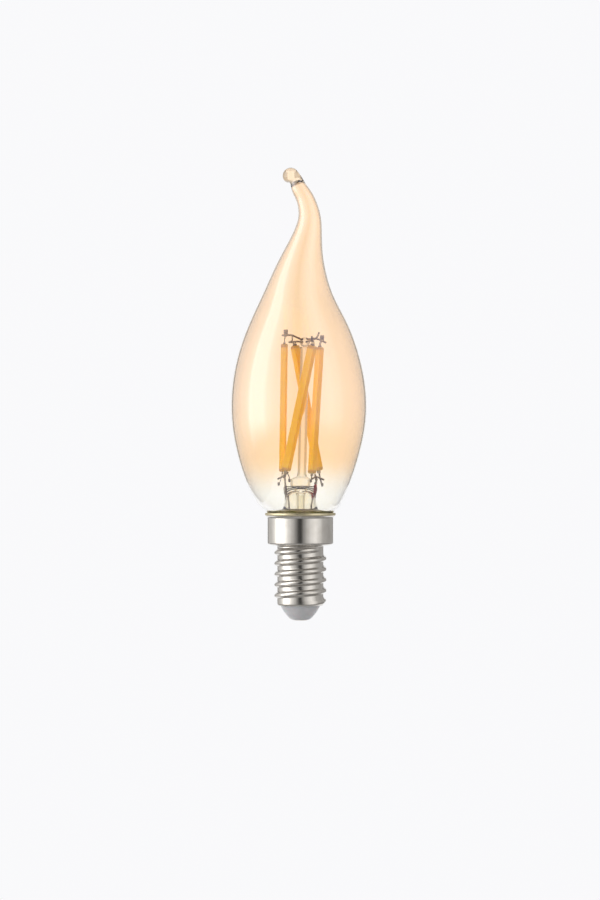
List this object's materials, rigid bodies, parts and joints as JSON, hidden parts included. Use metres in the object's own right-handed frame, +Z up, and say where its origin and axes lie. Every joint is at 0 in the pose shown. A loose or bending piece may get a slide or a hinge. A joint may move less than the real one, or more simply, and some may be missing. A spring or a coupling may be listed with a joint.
{
  "type": "filament light bulb",
  "caption": "Candle-shaped filament lamp: amber glass bulb with a bent flame tip, glowing-strip filaments on a glass stem, and a small screw cap holding a driver.",
  "frame": {"origin": "middle of the centre contact's bottom face, on the cap's axis", "axes": "+Z up the cap's axis towards the glass tip; the tip bends towards -X"},
  "size_m": [0.0359, 0.036, 0.1197],
  "materials": {
    "amber_glass": "smooth amber tint, paler towards the cap",
    "clear_glass": "smooth clear",
    "lead_wire": "drawn nickel wire",
    "seal_wire": "copper-clad seal wire, oxide red",
    "phosphor": "silicone with orange phosphor",
    "carrier_ceramic": "white alumina strip",
    "led_chip": "clear blue-grey dies",
    "tab_metal": "plated iron strip",
    "nickel_plate": "satin nickel plate",
    "cement": "baked capping cement",
    "insulator_grey": "smooth moulded grey",
    "contact_metal": "plated brass contact",
    "board": "white solder mask",
    "sleeve_film": "milky film",
    "capacitor_sleeve": "black shrink sleeve",
    "ferrite": "sintered ferrite",
    "copper_wire": "enamelled copper",
    "black_resin": "moulded resin",
    "radio_board": "green solder mask",
    "antenna_ceramic": "white chip antenna",
    "shield_metal": "stamped shield can",
    "chip_ceramic": "tan chip capacitors and resistors",
    "resistor_coat": "flameproof green coat",
    "live_insulation": "red wire covering",
    "neutral_insulation": "blue wire covering",
    "solder": "soft solder"
  },
  "bodies": {
    "root": {"glass_envelope": "amber_glass", "stem_flare": "clear_glass", "stem_press": "clear_glass", "exhaust_tube": "clear_glass", "support_post": "clear_glass", "anchor_bead": "clear_glass", "link_wires_left": "lead_wire", "link_wires_right": "lead_wire", "lead_wires_left": "lead_wire", "lead_wires_right": "lead_wire", "outer_lead_left": "lead_wire", "outer_lead_right": "lead_wire", "seal_wire_left": "seal_wire", "seal_wire_right": "seal_wire", "left_phosphor": "phosphor", "left_carrier": "carrier_ceramic", "left_chips": "led_chip", "left_tabs": "tab_metal", "back_phosphor": "phosphor", "back_carrier": "carrier_ceramic", "back_chips": "led_chip", "back_tabs": "tab_metal", "front_phosphor": "phosphor", "front_carrier": "carrier_ceramic", "front_chips": "led_chip", "front_tabs": "tab_metal", "right_phosphor": "phosphor", "right_carrier": "carrier_ceramic", "right_chips": "led_chip", "right_tabs": "tab_metal", "cap_shell": "nickel_plate", "cement_ring": "cement", "insulator": "insulator_grey", "centre_contact": "contact_metal", "driver_board": "board", "insulating_sleeve": "sleeve_film", "bulk_capacitor": "capacitor_sleeve", "inductor_core": "ferrite", "inductor_winding": "copper_wire", "driver_chip": "black_resin", "bridge_rectifier": "black_resin", "radio_board": "radio_board", "radio_antenna": "antenna_ceramic", "radio_shield": "shield_metal", "chip_parts": "chip_ceramic", "fuse_resistor": "resistor_coat", "live_wire": "live_insulation", "neutral_wire": "neutral_insulation", "solder_joints": "solder"}
  },
  "joints": []
}
